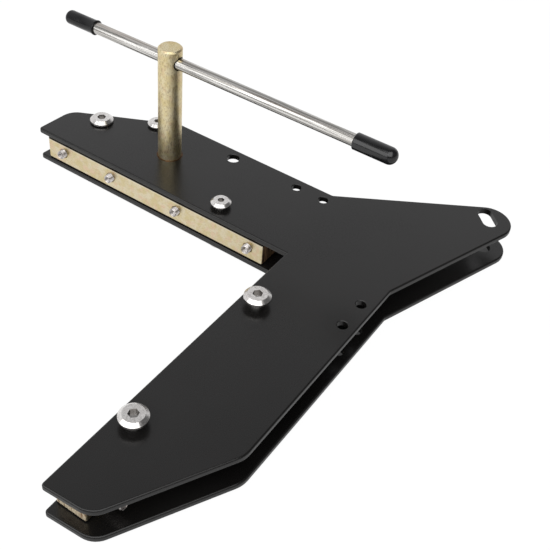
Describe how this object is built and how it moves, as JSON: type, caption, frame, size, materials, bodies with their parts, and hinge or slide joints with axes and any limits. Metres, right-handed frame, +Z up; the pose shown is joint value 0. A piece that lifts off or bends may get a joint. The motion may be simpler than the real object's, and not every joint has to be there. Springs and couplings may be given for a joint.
{
  "type": "strap clamp",
  "caption": "V-shaped clamp for round work: two black plates hold jaw bars with grip screws, and a post with a sliding cross bar winds a strap through the gap.",
  "frame": {"origin": "inner corner of the V, halfway between the two plates", "axes": "+X along the V's bisector to the slotted tip, +Y towards the arm with the post, +Z up the post"},
  "size_m": [0.3025, 0.3411, 0.1171],
  "materials": {
    "black_paint": "satin",
    "yellow_zinc": "satin, yellow passivated",
    "bright_nickel": "polished",
    "polished_steel": "drawn and polished",
    "plain_steel": "satin",
    "bronze": "oiled",
    "black_vinyl": "gloss"
  },
  "bodies": {
    "frame": {"upper_plate": "black_paint", "lower_plate": "black_paint", "left_jaw_bar": "yellow_zinc", "right_jaw_bar": "yellow_zinc", "outer_bolt": "bright_nickel", "shoulder_bolt": "bright_nickel", "left_bar_bolt": "bright_nickel", "right_bar_bolts": "bright_nickel", "outer_nut": "bright_nickel", "shoulder_nut": "bright_nickel", "left_bar_nut": "bright_nickel", "right_bar_nuts": "bright_nickel", "outer_spacer": "plain_steel", "shoulder_spacer": "plain_steel", "upper_bush": "bronze", "lower_bush": "bronze"},
    "spindle": {"spindle_post": "yellow_zinc", "spindle_washer": "plain_steel", "retaining_ring": "plain_steel"},
    "handle": {"handle_bar": "polished_steel", "rear_handle_cap": "black_vinyl", "front_handle_cap": "black_vinyl"},
    "left_screw_1": {"left_grip_screw_1": "plain_steel"},
    "left_screw_2": {"left_grip_screw_2": "plain_steel"},
    "left_screw_3": {"left_grip_screw_3": "plain_steel"},
    "left_screw_4": {"left_grip_screw_4": "plain_steel"},
    "right_screw_1": {"right_grip_screw_1": "plain_steel"},
    "right_screw_2": {"right_grip_screw_2": "plain_steel"},
    "right_screw_3": {"right_grip_screw_3": "plain_steel"},
    "right_screw_4": {"right_grip_screw_4": "plain_steel"}
  },
  "joints": [
    {"name": "spindle_turn", "type": "hinge", "parent": "frame", "child": "spindle", "pos_m": [-0.06053, 0.10904, 0.013], "axis": [0, 0, 1], "continuous": true},
    {"name": "handle_slide", "type": "slide", "parent": "spindle", "child": "handle", "axis": [0.7071, -0.7071, 0], "range_m": [-0.1298, 0.0537]},
    {"name": "left_grip_screw_1_advance", "type": "slide", "parent": "frame", "child": "left_screw_1", "axis": [-0.7071, -0.7071, 0], "range_m": [-0.0025, 0.008]},
    {"name": "left_grip_screw_2_advance", "type": "slide", "parent": "frame", "child": "left_screw_2", "axis": [-0.7071, -0.7071, 0], "range_m": [-0.0025, 0.008]},
    {"name": "left_grip_screw_3_advance", "type": "slide", "parent": "frame", "child": "left_screw_3", "axis": [-0.7071, -0.7071, 0], "range_m": [-0.0025, 0.008]},
    {"name": "left_grip_screw_4_advance", "type": "slide", "parent": "frame", "child": "left_screw_4", "axis": [-0.7071, -0.7071, 0], "range_m": [-0.0025, 0.008]},
    {"name": "right_grip_screw_1_advance", "type": "slide", "parent": "frame", "child": "right_screw_1", "axis": [-0.7071, 0.7071, 0], "range_m": [-0.0025, 0.008]},
    {"name": "right_grip_screw_2_advance", "type": "slide", "parent": "frame", "child": "right_screw_2", "axis": [-0.7071, 0.7071, 0], "range_m": [-0.0025, 0.008]},
    {"name": "right_grip_screw_3_advance", "type": "slide", "parent": "frame", "child": "right_screw_3", "axis": [-0.7071, 0.7071, 0], "range_m": [-0.0025, 0.008]},
    {"name": "right_grip_screw_4_advance", "type": "slide", "parent": "frame", "child": "right_screw_4", "axis": [-0.7071, 0.7071, 0], "range_m": [-0.0025, 0.008]}
  ]
}
